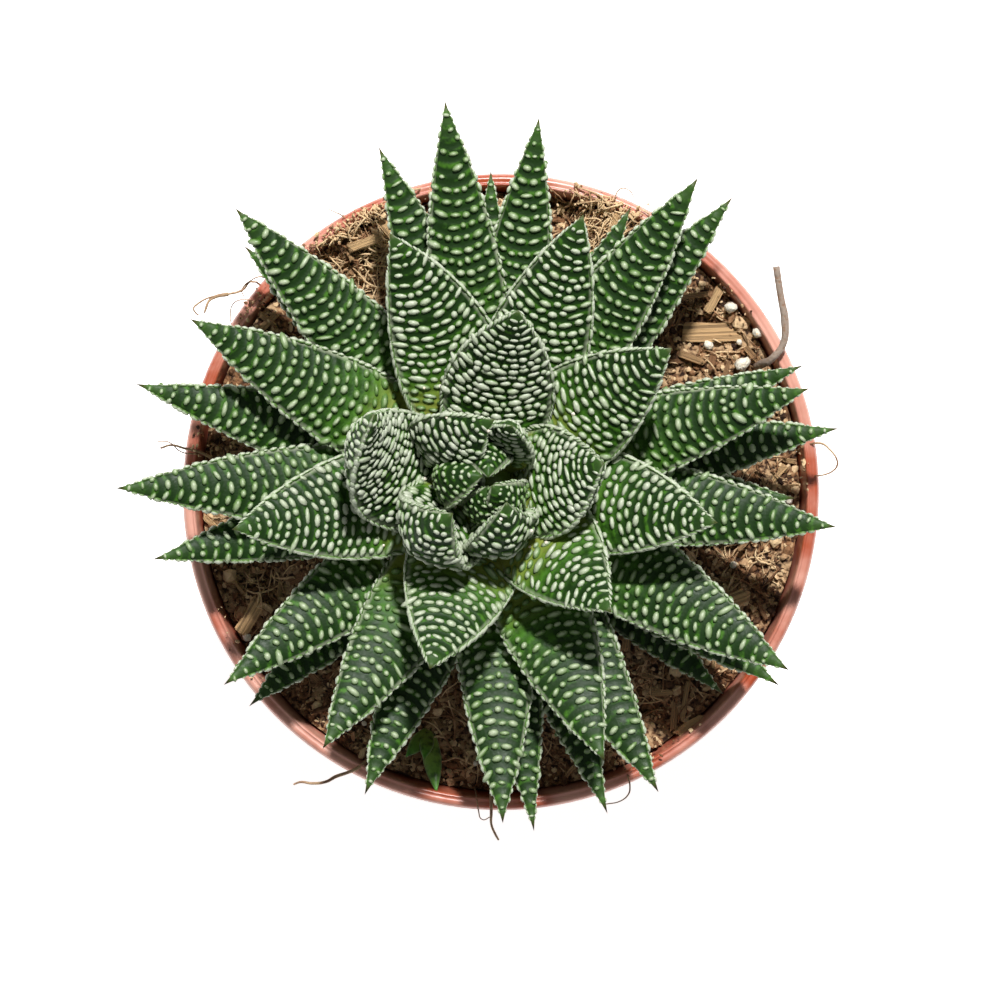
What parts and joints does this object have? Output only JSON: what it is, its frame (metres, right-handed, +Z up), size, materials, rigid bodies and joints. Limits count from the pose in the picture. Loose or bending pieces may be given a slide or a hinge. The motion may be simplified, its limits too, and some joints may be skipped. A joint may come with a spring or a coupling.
{
  "type": "potted haworthia",
  "caption": "Rosette of stiff pointed green leaves with rows of white beads, growing in soil in a round plastic nursery pot.",
  "frame": {"origin": "centre of the pot's base, on the surface the pot stands on", "axes": "+Z up along the pot's axis; +X to the picture's right and +Y to its top"},
  "size_m": [0.1148, 0.1159, 0.139],
  "materials": {
    "pot": "glossy moulded plastic",
    "soil": "rough peat with bark and perlite",
    "stem": "smooth living tissue",
    "leaf": "satin skin with white beads",
    "shoot": "satin young leaves",
    "twig": "dry weathered wood"
  },
  "bodies": {
    "root": {"pot": "pot", "soil": "soil", "crown_stem": "stem", "heart_leaf_1": "leaf", "heart_leaf_2": "leaf", "heart_leaf_3": "leaf", "heart_leaf_4": "leaf", "inner_leaf_1": "leaf", "inner_leaf_2": "leaf", "inner_leaf_3": "leaf", "inner_leaf_4": "leaf", "inner_leaf_5": "leaf", "inner_leaf_6": "leaf", "inner_leaf_7": "leaf", "middle_leaf_1": "leaf", "middle_leaf_2": "leaf", "middle_leaf_3": "leaf", "middle_leaf_4": "leaf", "middle_leaf_5": "leaf", "middle_leaf_6": "leaf", "middle_leaf_7": "leaf", "outer_leaf_1": "leaf", "outer_leaf_2": "leaf", "outer_leaf_3": "leaf", "outer_leaf_4": "leaf", "outer_leaf_5": "leaf", "outer_leaf_6": "leaf", "outer_leaf_7": "leaf", "outer_leaf_8": "leaf", "outer_leaf_9": "leaf", "outer_leaf_10": "leaf", "outer_leaf_11": "leaf", "outer_leaf_12": "leaf", "outer_leaf_13": "leaf", "lower_leaf_1": "leaf", "lower_leaf_2": "leaf", "lower_leaf_3": "leaf", "lower_leaf_4": "leaf", "lower_leaf_5": "leaf", "lower_leaf_6": "leaf", "lower_leaf_7": "leaf", "lower_leaf_8": "leaf", "lower_leaf_9": "leaf", "bottom_leaf_1": "leaf", "bottom_leaf_2": "leaf", "bottom_leaf_3": "leaf", "bottom_leaf_4": "leaf", "bottom_leaf_5": "leaf", "bottom_leaf_6": "leaf", "bottom_leaf_7": "leaf", "bottom_leaf_8": "leaf", "offset_shoot": "shoot", "twig": "twig"}
  },
  "joints": []
}
